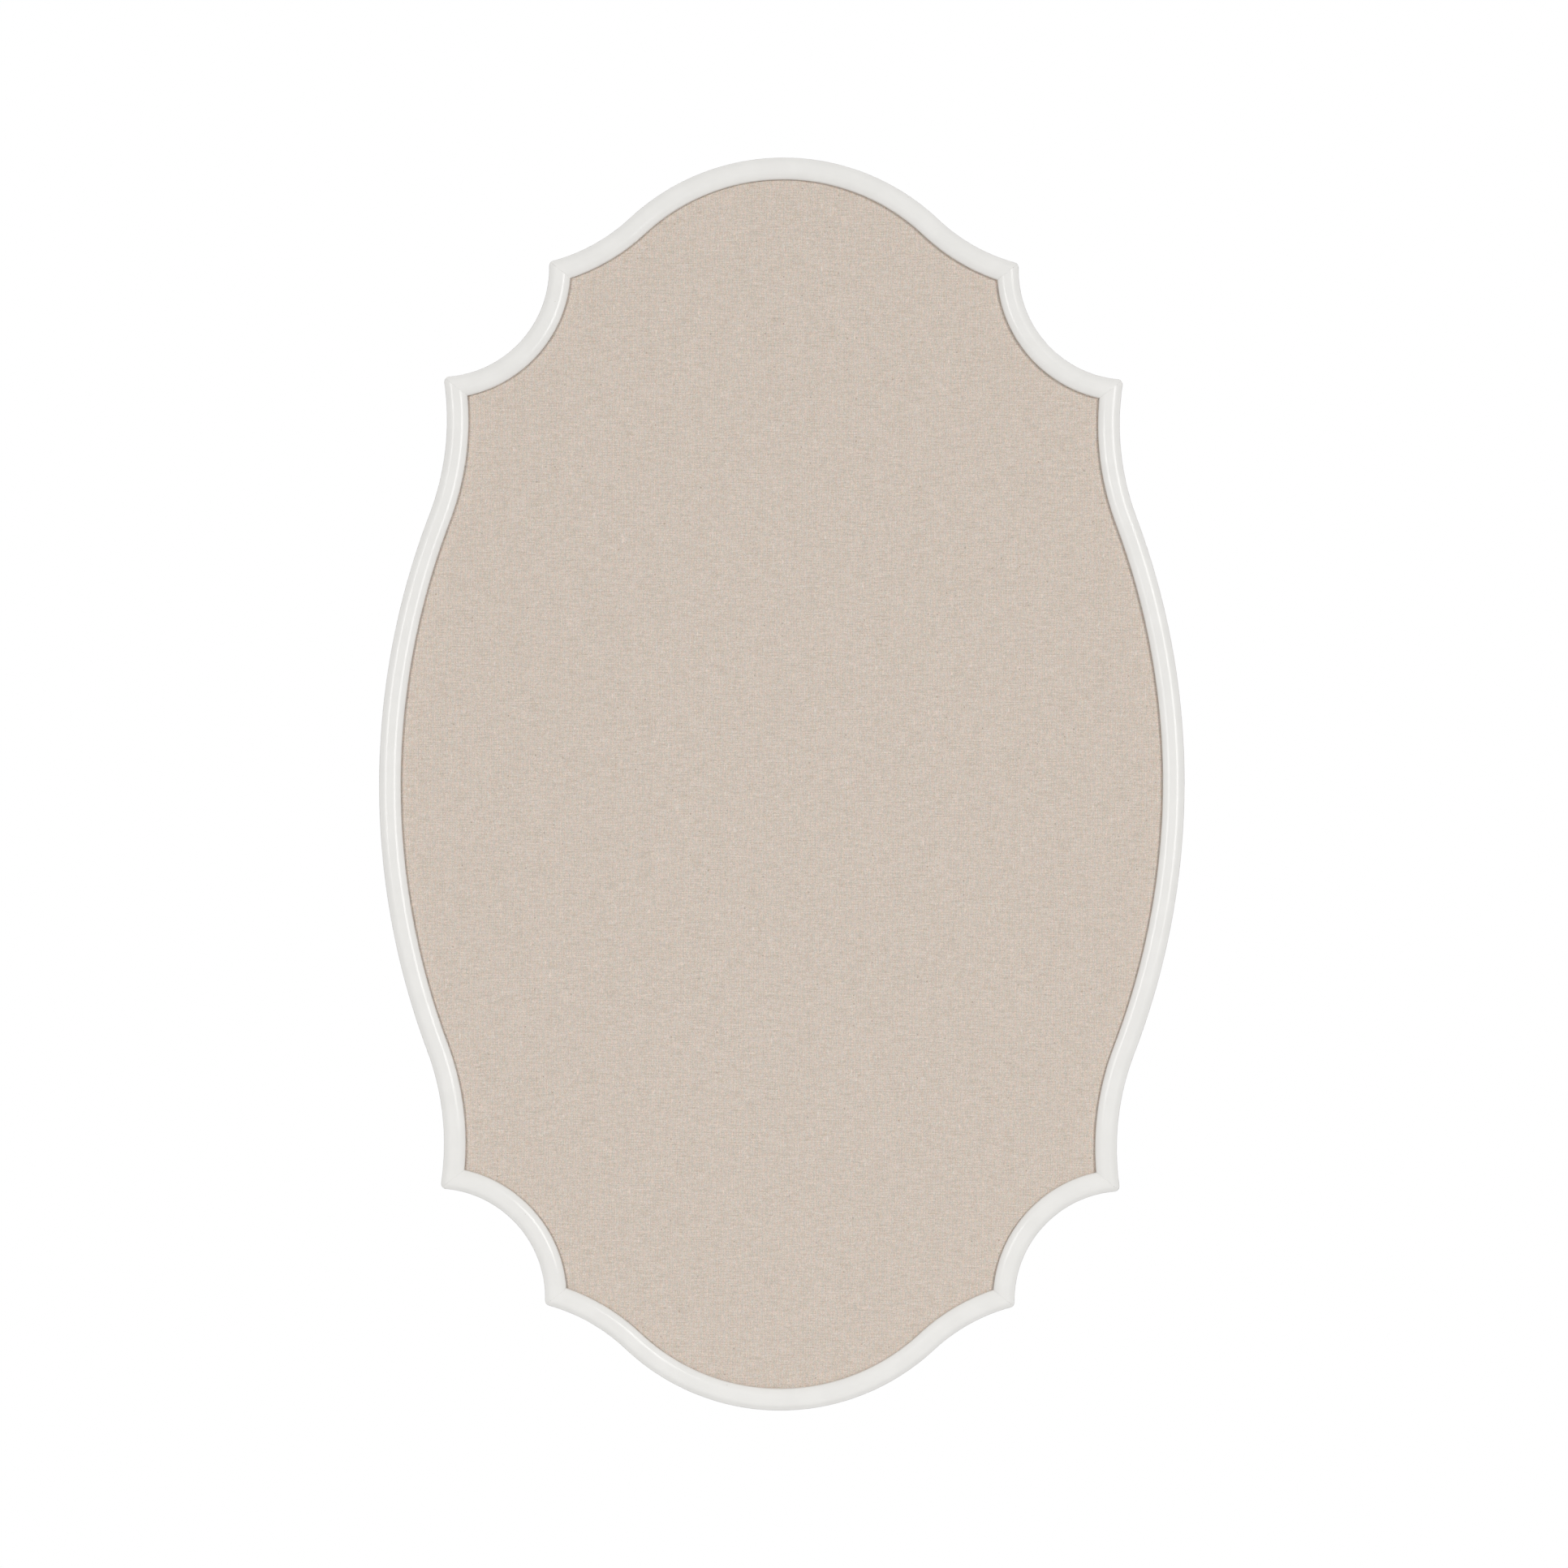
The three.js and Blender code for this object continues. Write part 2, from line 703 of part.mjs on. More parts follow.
// The strap: flat on the frame's back from its round end up to the bar, and curled round it.
function strapGeometry() {
  const start = -Math.PI / 2;
  const end = start + radians(curlTurn);
  const side = new THREE.Shape();
  side.moveTo(-strapReach, 0);
  side.lineTo(0, 0);
  side.absarc(0, barHeight, barHeight, start, end, false);
  side.absarc(0, barHeight, barHeight - strapThickness, end, start, true);
  side.lineTo(-strapReach, strapThickness);
  const folded = new THREE.ExtrudeGeometry(side, {
    depth: strapWidth,
    bevelEnabled: false,
    curveSegments: smallRoundSides / 2,
  });
  folded.rotateY(-Math.PI / 2);
  folded.translate(strapWidth / 2, 0, 0);

  const half = strapWidth / 2;
  const plan = new THREE.Shape();
  plan.moveTo(half, 2 * barHeight);
  plan.lineTo(-half, 2 * barHeight);
  plan.absarc(0, half - strapReach, half, Math.PI, 2 * Math.PI, false);
  for (const distance of strapScrews) {
    const hole = new THREE.Path();
    hole.absarc(0, -distance, screwShankRadius + screwPlay, 0, 2 * Math.PI, true);
    plan.holes.push(hole);
  }
  const cutter = slab(plan, 2 * barHeight + overrun, -overrun);
  return geometryOf(solidOf(folded).intersect(solidOf(cutter)));
}

function addHangers() {
  for (const [side, signX] of [['right', 1], ['left', -1]]) {
    const hanger = new THREE.Group();
    hanger.position.set(signX * rightHanger.point.x, 0, rightHanger.point.y);
    hanger.rotation.y = -signX * rightHanger.tilt;
    board.add(hanger);
    addPiece(`hanger_strap_${side}`, strapGeometry(), zincPlate(), hanger);
    addPiece(`hanger_ring_${side}`, ringGeometry(), zincPlate(), hanger);
    strapScrews.forEach((distance, i) => {
      const name = `hanger_screw_${side}_${i + 1}`;
      const screw = addPiece(name, screwGeometry(), brassPlate(), hanger);
      screw.position.set(0, strapThickness, -distance);
    });
  }
}

function addBumpers() {
  for (const { suffix, x, z } of quarters) {
    const { point } = flipped(bumperPlace, x, z);
    const stud = new THREE.CylinderGeometry(
      bumperRadius - bumperTaper,
      bumperRadius,
      bumperHeight,
      bumperSides,
    );
    const mesh = addPiece(`bumper_${suffix}`, stud, clearGrey());
    mesh.position.set(point.x, bumperHeight / 2, point.y);
  }
}

addFrame();
addNails();
addPanel();
addButtons();
addHangers();
addBumpers();

export default board;
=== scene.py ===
"""A scalloped linen pin board in a white moulding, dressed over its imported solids.

Metres. +Z is up, the front faces -Y, and the origin is the centre of the backing board's rear
face. A point of the board's outline is written as one complex number, x plus i times z.
"""

import math

import bmesh
import bpy
import numpy as np
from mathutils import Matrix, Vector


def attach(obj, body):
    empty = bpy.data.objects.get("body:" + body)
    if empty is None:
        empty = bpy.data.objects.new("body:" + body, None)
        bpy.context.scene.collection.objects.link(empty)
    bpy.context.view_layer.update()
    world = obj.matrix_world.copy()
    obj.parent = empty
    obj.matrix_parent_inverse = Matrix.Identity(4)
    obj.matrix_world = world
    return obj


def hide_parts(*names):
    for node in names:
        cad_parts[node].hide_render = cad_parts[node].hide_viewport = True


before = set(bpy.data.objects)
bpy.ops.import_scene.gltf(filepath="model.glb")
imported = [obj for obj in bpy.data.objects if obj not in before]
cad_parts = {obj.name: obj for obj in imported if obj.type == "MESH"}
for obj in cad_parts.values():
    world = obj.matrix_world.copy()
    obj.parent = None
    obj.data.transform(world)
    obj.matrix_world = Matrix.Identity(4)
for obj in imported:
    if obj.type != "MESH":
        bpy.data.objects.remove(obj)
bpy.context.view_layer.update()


# The frame: eight lengths of narrow poplar moulding, shaped to the board's outline, mitred at its
# eight tips and sprayed with white gloss lacquer. The tips are sanded round before the lacquer
# goes on, which leaves a hairline at each mitre. The back is bare wood with overspray.
half_width, half_height = 0.2939, 0.4572
side_radius, side_ogee_radius, side_flare = 0.5525, 0.1925, 0.0345
crown_radius, crown_ogee_radius, crown_flare = 0.1644, 0.1326, 0.0282
crown_reach = math.radians(62.9)
corner_drop, cove_depth = 0.161, 0.024
tip_round, tip_steps = 0.004, 6
bow_steps, ogee_steps, cove_steps, crown_ogee_steps, lobe_steps = 24, 16, 40, 14, 24
face_width, rim_width = 0.0156, 0.0106
shoulder_turns = (0.0, 0.0006, 0.0023, 0.0066, 0.0097, 0.0133, 0.0150, 0.0156)
shoulder_sines = (0.94, 0.42, 0.42, -0.06, -0.06, -0.46, -0.64, -0.90)
shoulder_steps, side_stops = 12, (0.006, 0.012)
face_front, lip_back, rabbet_stop, back_ease = -0.021, -0.0146, 0.009, 0.0004
hairline, eased, moulding_crease = 0.00002, 0.00006, 28.0
nail_leg, nail_slot, nail_bottom = 0.0058, 0.0012, -0.0106
pilot_radius, pilot_bottom, pilot_steps, plug_top = 0.0017, -0.0102, 20, 0.001
overspray_edge, overspray_depth = (0.0022, 0.0042), (-0.0006, -0.0001)


def crossing(a, radius_a, b, radius_b):
    """Where two circles cross, left of the way from a to b: along the way by the cosine rule,
    then out to the left by Pythagoras."""
    way = b - a
    along = (radius_a**2 - radius_b**2 + abs(way) ** 2) / (2 * abs(way))
    return a + way / abs(way) * (along + 1j * np.sqrt(radius_a**2 - along**2))


def bearing(point, centre):
    """The direction of a point from a centre, from nothing to a full turn."""
    return np.angle(point - centre) % (2 * np.pi)


corner_height = half_height - corner_drop
side_centre = half_width - side_radius + 0j
corner_out = np.sqrt((side_radius + side_flare) ** 2 - corner_height**2)
corner_tip = side_centre + corner_out + 1j * corner_height
side_spread = side_radius + side_ogee_radius
side_ogee_centre = crossing(corner_tip, side_ogee_radius, side_centre, side_spread)
side_turn = bearing(side_ogee_centre, side_centre)
crown_centre = 1j * (half_height - crown_radius)
crown_tip = crown_centre + (crown_radius + crown_flare) * np.exp(1j * (np.pi / 2 - crown_reach))
crown_spread = crown_radius + crown_ogee_radius
crown_ogee_centre = crossing(crown_centre, crown_spread, crown_tip, crown_ogee_radius)
crown_turn = bearing(crown_ogee_centre, crown_centre)
cove_chord = corner_tip - crown_tip
cove_radius = abs(cove_chord) ** 2 / (8 * cove_depth) + cove_depth / 2
cove_out = (cove_radius - cove_depth) * 1j * cove_chord / abs(cove_chord)
cove_centre = (crown_tip + corner_tip) / 2 + cove_out


def corner_at(inset):
    """The corner tip of the outline drawn in by inset."""
    return crossing(side_ogee_centre, side_ogee_radius + inset, cove_centre, cove_radius + inset)


def crown_at(inset):
    """The crown's tip of the outline drawn in by inset."""
    return crossing(cove_centre, cove_radius + inset, crown_ogee_centre, crown_ogee_radius + inset)


def arc(centre, radius, start, end, steps):
    """Points on one circle for each radius: the centre plus the radius at angles evenly from
    start to end. One row a step, one column a circle."""
    share = np.linspace(0.0, 1.0, steps + 1)[:, None]
    return centre + radius * np.exp(1j * (start + (end - start) * share))


def tip_run(centre, radius, tip_at, back, inset):
    """The last stretch of a hollow arc up to its mitre. At insets under tip_round it is part of a
    circle about the point where both arcs are tip_round in, and beyond that it keeps to the arc.
    Back is 1 or -1, the sense of turn from the tip to the middle of the arc."""
    hub = tip_at(tip_round)
    start = np.angle(centre - hub)
    sweep = np.angle((tip_at(0.0) - hub) / (centre - hub))
    rounded = arc(hub, tip_round - inset, start, start + sweep, tip_steps)
    hollow = radius + inset
    end = bearing(tip_at(np.maximum(inset, tip_round)), centre)
    kept = arc(centre, hollow, end + back * tip_round / hollow, end, tip_steps)
    return np.where(inset < tip_round, rounded, kept)


def half_rail(inset):
    """The right side from mid height up to the corner tip: the bow, the ogee and the tip."""
    tip = tip_run(side_ogee_centre, side_ogee_radius, corner_at, 1, inset)
    bow = arc(side_centre, side_radius - inset, 0.0, side_turn, bow_steps)
    hollow, end = side_ogee_radius + inset, bearing(tip[0], side_ogee_centre)
    ogee = arc(side_ogee_centre, hollow, side_turn + np.pi, end, ogee_steps)
    return np.vstack([bow, ogee[1:], tip[1:]])


def cove(inset):
    """The hollow quarter from the corner tip to the crown's tip."""
    corner = tip_run(cove_centre, cove_radius, corner_at, -1, inset)
    crown = tip_run(cove_centre, cove_radius, crown_at, 1, inset)
    start, end = bearing(corner[0], cove_centre), bearing(crown[0], cove_centre)
    hollow = arc(cove_centre, cove_radius + inset, start, end, cove_steps)
    return np.vstack([corner[::-1], hollow[1:], crown[1:]])


def half_crown(inset):
    """The crown from its tip to the middle: the tip, the ogee and the lobe."""
    tip = tip_run(crown_ogee_centre, crown_ogee_radius, crown_at, -1, inset)
    hollow, start = crown_ogee_radius + inset, bearing(tip[0], crown_ogee_centre)
    ogee = arc(crown_ogee_centre, hollow, start, crown_turn + np.pi, crown_ogee_steps)
    lobe = arc(crown_centre, crown_radius - inset, crown_turn, np.pi / 2, lobe_steps)
    return np.vstack([tip[::-1], ogee[1:], lobe[1:]])


def rail(inset):
    """The whole right side: the half rail and its mirror image in the mid height."""
    upper = half_rail(inset)
    return np.vstack([np.conj(upper[::-1]), upper[1:]])


def crown(inset):
    """The whole top: the half crown and its mirror image in the middle."""
    right = half_crown(inset)
    return np.vstack([right, -np.conj(right[::-1])[1:]])


def moulding_section():
    """The moulding's section, each point its inset plus i times its depth. The face is a flat that
    falls a little towards the panel, a round shoulder on either side and a slope below each. The
    sine of its tilt runs straight from turn to turn, so each shoulder is part of a circle, and the
    depth is the running sum of the tilt's tangent. The rabbet is cut out behind the lip."""
    spans = zip(shoulder_turns, shoulder_turns[1:])
    parts = [np.linspace(a, b, shoulder_steps)[:-1] for a, b in spans]
    for flatter in (1, 3, 5):
        parts[flatter] = parts[flatter][::2]
    across = np.concatenate([*parts, [face_width]])
    slope = np.tan(np.arcsin(np.interp(across, shoulder_turns, shoulder_sines)))
    depth = -np.concatenate([[0.0], np.cumsum((slope[1:] + slope[:-1]) / 2 * np.diff(across))])
    face = across + 1j * (face_front + depth - depth.min())
    side = 0 - 1j * np.array([back_ease, *side_stops])
    lip = [
        face_width + 1j * (lip_back - back_ease),
        face_width - back_ease + 1j * lip_back,
        rim_width + 1j * lip_back,
    ]
    rabbet = [rim_width - 1j * rabbet_stop, rim_width - 1j * back_ease]
    back = [rim_width - back_ease, rim_width / 2, back_ease]
    return np.concatenate([side, face, lip, rabbet, back])


def drawn_in(section, by):
    """A section shrunk by a distance: each point moves along the mean normal of its two sides."""
    side = np.roll(section, -1) - section
    side = side / abs(side)
    mean = side + np.roll(side, 1)
    return section + by * 1j * mean / abs(mean)


def in_space(plan, depth):
    """Outline points and their depths as points in space."""
    return np.stack([plan.real, depth + 0 * plan.real, plan.imag], axis=-1)


def skinned(name, points, looped=False, capped=(True, True), sharp=35.0):
    """A piece over a grid of points, one closed ring a row. Quads join each ring to the next, and
    the end rings are joined when looped, or else capped with one face each. Edges that turn by
    more than sharp degrees stay crisp."""
    rows, across = points.shape[:2]
    here = np.arange((rows if looped else rows - 1) * across).reshape(-1, across)
    after = (here + across) % (rows * across)
    quads = np.stack([here, after, np.roll(after, -1, 1), np.roll(here, -1, 1)], axis=-1)
    ends = [list(range(across)), list(range((rows - 1) * across, rows * across))]
    caps = [end for end, cap in zip(ends, capped) if cap and not looped]
    mesh = bpy.data.meshes.new(name)
    mesh.from_pydata(points.reshape(-1, 3).tolist(), [], quads.reshape(-1, 4).tolist() + caps)
    work = bmesh.new()
    work.from_mesh(mesh)
    bmesh.ops.recalc_face_normals(work, faces=work.faces)
    work.to_mesh(mesh)
    work.free()
    mesh.shade_smooth()
    mesh.set_sharp_from_angle(angle=math.radians(sharp))
    piece = bpy.data.objects.new(name, mesh)
    bpy.context.scene.collection.objects.link(piece)
    return piece


def cut(piece, cutters):
    """Takes each cutter's solid out of a piece, and the cutter away."""
    for cutter in cutters:
        knife = piece.modifiers.new("cut", "BOOLEAN")
        knife.operation, knife.solver, knife.object = "DIFFERENCE", "EXACT", cutter
    finished = piece.evaluated_get(bpy.context.evaluated_depsgraph_get())
    made = bpy.data.meshes.new_from_object(finished)
    piece.modifiers.clear()
    piece.data = made
    for cutter in cutters:
        bpy.data.objects.remove(cutter)


def dress(piece, material, slot, body, *nodes):
    """Gives a piece its material, its body and the solids that it stands for."""
    piece.data.materials.clear()
    piece.data.materials.append(material)
    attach(piece, body)
    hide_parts(*nodes)


class Shade:
    """One output of a material's nodes. Sums, differences and products with numbers or other
    shades add the Math nodes that work them out."""

    def __init__(self, tree, socket=None):
        self.tree, self.socket = tree, socket

    def node(self, kind, inputs=(), out=None, **settings):
        """Adds a node: its settings, then the values or links of its sockets, by name or number.
        Gives the output called out, or else the first."""
        made = self.tree.nodes.new(kind)
        for key, value in settings.items():
            setattr(made, key, value)
        for key, value in dict(inputs).items():
            named = (s for s in made.inputs if s.name == key and s.enabled)
            socket = made.inputs[key] if isinstance(key, int) else next(named)
            if isinstance(value, Shade):
                self.tree.links.new(value.socket, socket)
            else:
                socket.default_value = value
        ready = [s for s in made.outputs if s.enabled and out in (None, s.name)]
        return Shade(self.tree, ready[0] if ready else None)

    def math(self, operation, *values):
        return self.node("ShaderNodeMath", enumerate(values), operation=operation)

    def vector(self, operation, *values, out=None):
        return self.node("ShaderNodeVectorMath", enumerate(values), out, operation=operation)

    def __add__(self, other):
        return self.math("ADD", self, other)

    def __sub__(self, other):
        return self.math("SUBTRACT", self, other)

    def __rsub__(self, other):
        return self.math("SUBTRACT", other, self)

    def __mul__(self, other):
        return self.math("MULTIPLY", self, other)

    __radd__, __rmul__ = __add__, __mul__


def split(vector):
    """The three parts of a vector."""
    made = vector.node("ShaderNodeSeparateXYZ", {"Vector": vector}).socket.node
    return [Shade(vector.tree, part) for part in made.outputs]


def joined(x, y, z=0.0):
    """A vector put together from its parts."""
    return x.node("ShaderNodeCombineXYZ", {"X": x, "Y": y, "Z": z})


def rise(shade, low, high):
    """Nothing below low, one above high, and a smooth rise between; falls where low is higher."""
    ends = {"Value": shade, "From Min": low, "From Max": high}
    return shade.node("ShaderNodeMapRange", ends, interpolation_type="SMOOTHSTEP")


def noise(place, scale, detail=2.0, rough=0.5):
    """Soft noise about one half, its scale in lumps to the metre."""
    inputs = {"Vector": place, "Scale": scale, "Detail": detail, "Roughness": rough}
    return place.node("ShaderNodeTexNoise", inputs)


def blend(share, first, second):
    """A colour between two, by a share."""
    return share.node("ShaderNodeMix", {"Factor": share, "A": first, "B": second}, data_type="RGBA")


def bump(height, depth, strength):
    """The normal over a height from nothing to one, which stands for a depth in metres."""
    inputs = {"Height": height, "Distance": depth, "Strength": strength}
    return height.node("ShaderNodeBump", inputs)


def new_material(name):
    """An empty material, the shade that its nodes start from, and its place on the object."""
    material = bpy.data.materials.new(name)
    material.use_nodes = True
    material.node_tree.nodes.clear()
    start = Shade(material.node_tree)
    return material, start, start.node("ShaderNodeTexCoord", out="Object")


def finish(start, **inputs):
    """The coating shader, its sockets by name with low lines for spaces, as the surface."""
    named = {key.replace("_", " "): value for key, value in inputs.items()}
    coating = start.node("ShaderNodeBsdfPrincipled", named)
    start.node("ShaderNodeOutputMaterial", {"Surface": coating})


lacquer, start, place = new_material("white_lacquer")
along, inset, _ = split(start.node("ShaderNodeTexCoord", out="UV"))
depth = split(place)[1]
peel = noise(place, 420.0)
flow = noise(place, 55.0, 3.0)
ragged = noise(place, 900.0, 3.0) * 0.0016 + noise(place, 120.0) * 0.0012
bare = rise(depth, *overspray_depth) * rise(inset + ragged, *overspray_edge)
grain = noise(joined(along * 22.0, inset * 900.0), 1.0, 4.0, 0.6)
fleck = noise(joined(along * 260.0, inset * 3600.0), 1.0)
cells = {"Vector": place, "Scale": 210.0}
nib = 1 - rise(start.node("ShaderNodeTexVoronoi", cells, out="Distance"), 0.035, 0.075)
rare = split(start.node("ShaderNodeTexVoronoi", cells, out="Color"))[0]
nib = nib * rise(rare, 0.965, 0.975)
white = blend(rise(flow, 0.35, 0.65), (0.800, 0.789, 0.763, 1), (0.818, 0.807, 0.781, 1))
white = blend(nib, white, (0.52, 0.47, 0.40, 1))
wood = blend(rise(grain, 0.3, 0.7), (0.50, 0.36, 0.22, 1), (0.66, 0.52, 0.34, 1))
wood = blend(rise(fleck, 0.62, 0.8) * 0.45, wood, (0.33, 0.21, 0.11, 1))
finish(
    start,
    Base_Color=blend(bare, white, wood),
    Roughness=0.11 + flow * 0.08 + bare * 0.45,
    Normal=bump(peel + bare * (grain * 2.0 + fleck - peel), 0.00002, 0.25),
)


def moulding(name, node, line, sign_x, sign_z, cutters):
    """One length: each of the section's points runs along its own inset of the line. The ends
    stop half a hairline short of the mitre, with their edges eased over by a drawn-in section."""
    section = moulding_section()
    small = drawn_in(section, eased)
    plan, ends = line(section.real), line(small.real)
    rows = []
    for end, step in ((0, 1), (-1, -1)):
        back = plan[end + step] - plan[end]
        back = back / abs(back)
        outer = in_space(ends[end] + back * hairline / 2, small.imag)
        inner = in_space(plan[end] + back * (hairline / 2 + eased), section.imag)
        rows.append([outer, inner][::step])
    body = in_space(plan[1:-1], section.imag)
    points = np.concatenate([rows[0], body, rows[1]]) * (sign_x, 1.0, sign_z)
    piece = skinned(name, points, sharp=moulding_crease)
    middle = plan[:, len(section) // 2]
    run = np.concatenate([[0.0, 0.0], np.cumsum(abs(np.diff(middle))), [0.0]])
    run[-1] = run[-2]
    spread = np.stack(np.broadcast_arrays(run[:, None], section.real), axis=-1).reshape(-1, 2)
    corner = np.zeros(len(piece.data.loops), dtype=np.int32)
    piece.data.loops.foreach_get("vertex_index", corner)
    layer = piece.data.uv_layers.new(name="run")
    layer.data.foreach_set("uv", spread[corner].astype(np.float32).ravel())
    cut(piece, cutters)
    dress(piece, lacquer, "frame_lacquer", "board", node)


def circle(steps):
    """Directions evenly round a full turn."""
    return np.exp(1j * np.linspace(0, 2 * np.pi, steps, endpoint=False))


def turned(point, sign_x, sign_z):
    """A point or direction of the upper right quarter in another one."""
    return sign_x * point.real + 1j * sign_z * point.imag


def plug(plan, bottom):
    """A cutter: a closed line of outline points carried from bottom to behind the frame."""
    return skinned("cutter", np.stack([in_space(plan, depth) for depth in (bottom, plug_top)]))


def chevron_plug(tip_at, sign_x, sign_z):
    """The slot of a V-nail: two legs of strip at right angles, open towards the panel."""
    inward = tip_at(rim_width) - tip_at(0.0)
    leg = np.exp(1j * np.array([-1, 1]) * np.pi / 4)
    low, high = nail_leg * leg
    out_low, out_high = nail_slot / 2 * leg * (-1j, 1j)
    elbow = nail_slot / 2 / np.sin(np.pi / 4)
    shape = [-elbow, low + out_low, low - out_low, elbow, high - out_high, high + out_high]
    plan = tip_at(rim_width / 2) + np.array(shape) * inward / abs(inward)
    return plug(turned(plan, sign_x, sign_z), nail_bottom)


def pilot_plug(point):
    """A cutter for a screw's pilot hole: a plain circle."""
    return plug(point + pilot_radius * circle(pilot_steps), pilot_bottom)


sides = {"right": 1, "left": -1}
quarters = {
    "upper_right": (1, 1),
    "upper_left": (-1, 1),
    "lower_left": (-1, -1),
    "lower_right": (1, -1),
}
rail_button_turn, hanger_tilt = math.radians(9), math.radians(16)
hanger_inset, hanger_screw_drops = 0.0065, (0.0145, 0.0225)
cove_middle = (bearing(corner_tip, cove_centre) + bearing(crown_tip, cove_centre)) / 2
crown_button = crown_centre + 1j * (crown_radius - rim_width / 2)
cove_button = cove_centre + (cove_radius + rim_width / 2) * np.exp(1j * cove_middle)
rail_button = side_centre + (side_radius - rim_width / 2) * np.exp(1j * rail_button_turn)
hanger_bar = side_centre + (side_radius - hanger_inset) * np.exp(1j * hanger_tilt)
hanger_down = math.sin(hanger_tilt) - 1j * math.cos(hanger_tilt)
hanger_screws = [hanger_bar + drop * hanger_down for drop in hanger_screw_drops]

for where, sign_z in (("top", 1), ("bottom", -1)):
    slots = [chevron_plug(crown_at, sign_x, sign_z) for sign_x in (1, -1)]
    slots.append(pilot_plug(turned(crown_button, 1, sign_z)))
    moulding(f"moulding_crown_{where}", f"frame_crown_{where}", crown, 1, sign_z, slots)
for where, sign_x in sides.items():
    slots = [chevron_plug(corner_at, sign_x, sign_z) for sign_z in (1, -1)]
    slots += [pilot_plug(turned(rail_button, sign_x, sign_z)) for sign_z in (1, -1)]
    slots += [pilot_plug(turned(point, sign_x, 1)) for point in hanger_screws]
    moulding(f"moulding_rail_{where}", f"frame_rail_{where}", rail, sign_x, 1, slots)
for where, (sign_x, sign_z) in quarters.items():
    slots = [chevron_plug(tip_at, sign_x, sign_z) for tip_at in (corner_at, crown_at)]
    slots.append(pilot_plug(turned(cove_button, sign_x, sign_z)))
    moulding(f"moulding_cove_{where}", f"frame_cove_{where}", cove, sign_x, sign_z, slots)


# The V-nails: strips of hard steel folded to a right angle and pressed across each mitre from
# the back. They are left grey from the mill, with a bloom of rust here and there.
nail_steel, start, place = new_material("mill_steel")
bloom = rise(noise(place, 900.0, 4.0), 0.56, 0.7)
scale = noise(place, 2600.0)
grey = blend(scale, (0.27, 0.275, 0.285, 1), (0.42, 0.425, 0.435, 1))
finish(
    start,
    Base_Color=blend(bloom * 0.6, grey, (0.20, 0.085, 0.035, 1)),
    Metallic=1 - bloom * 0.7,
    Roughness=0.38 + scale * 0.15 + bloom * 0.3,
    Normal=bump(scale, 0.00001, 0.3),
)


def coat(node, material):
    """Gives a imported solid, which is shown as it is, its material."""
    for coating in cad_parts[node].material_slots:
        coating.material = material


for where in quarters:
    for end in ("corner", "crown"):
        coat(f"v_nail_{end}_{where}", nail_steel)


# The core: soft fibreboard that the pins go into, sawn to the outline. Its fibres are short and
# felted, tan with darker bits, and its face is faintly dimpled.
fibreboard, start, place = new_material("soft_fibreboard")
felt = noise(place, 700.0, 4.0, 0.65)
bits = rise(noise(place, 1500.0), 0.64, 0.72)
tan = blend(rise(felt, 0.3, 0.7), (0.36, 0.25, 0.14, 1), (0.55, 0.42, 0.26, 1))
finish(
    start,
    Base_Color=blend(bits * 0.7, tan, (0.16, 0.10, 0.055, 1)),
    Roughness=0.85 + felt * 0.12,
    Normal=bump(felt - bits * 0.5, 0.0003, 0.5),
)
coat("pin_core", fibreboard)


# The cover: one piece of natural linen, drawn tight over the front and edges of the core and
# glued down in a turn along its back edge. Its plain weave has uneven slubby threads.
panel_inset, linen_thick, linen_crease = 0.0116, 0.0006, 60.0
turn_in, side_drop = 0.028, 0.0118
linen_back, linen_margin, linen_front = -0.0033, -0.0141, -0.0143
back_round, front_round, fold_steps = 0.0009, 0.0012, 7
turn_stops, edge_stops = (turn_in, 0.018, 0.008, 0.003), (-0.007, -0.010)
margin_stops, field_stops = (0.0040, 0.0046, 0.0052), (0.008, 0.014, 0.022)
middle_shares = (0.9, 0.78, 0.64, 0.5, 0.36, 0.22, 0.1, 0.02)
weave_pitch, stripe_pitch, thread_stride = 0.00089, 0.0034, 17.31


def whole_outline(inset):
    """Round the board from its lowest point up the right side: the upper right quarter and its
    mirror images."""
    quarter = np.vstack([half_rail(inset), cove(inset)[1:], half_crown(inset)[1:]])
    right = np.vstack([np.conj(quarter[::-1]), quarter[1:]])
    return np.vstack([right, -np.conj(right[::-1])[1:-1]])


def linen_surface():
    """The cloth's outer face, one ring a row: along the turn, round the back edge, up the side,
    round the front edge, over the pressed margin to the field, and in to the middle by shares.
    Both edges are quarter circles."""
    turn = np.linspace(0.0, np.pi / 2, fold_steps)
    near, far = 1 - np.sin(turn), 1 - np.cos(turn)
    turned_in = np.array(turn_stops) + 1j * linen_back
    back_edge = back_round * near + 1j * (linen_back - back_round * far)
    side = 1j * np.array(edge_stops)
    front_edge = front_round * far + 1j * (linen_margin + front_round * near)
    margin = np.array(margin_stops) + 1j * np.array([linen_margin, linen_front, linen_front])
    field = np.array(field_stops) + 1j * linen_front
    rings = np.concatenate([turned_in, back_edge, side, front_edge, margin, field])
    plan = whole_outline(panel_inset + rings.real).T
    middle = plan[-1] * np.array(middle_shares)[:, None]
    depth = np.concatenate([rings.imag, np.full(len(middle), linen_front)])
    return in_space(np.vstack([plan, middle]), depth[:, None])


linen, start, place = new_material("natural_linen")
across, _, upward = split(place)
wander = (noise(place, 30.0) - 0.5) * 0.0016
warp = (across + wander) * (1 / weave_pitch)
weft = (upward + wander) * (1 / weave_pitch)
warp_count, weft_count = start.math("FLOOR", warp), start.math("FLOOR", weft)
warp_share, weft_share = warp - warp_count, weft - weft_count
parity = start.math("FLOORED_MODULO", warp_count + weft_count, 2.0)


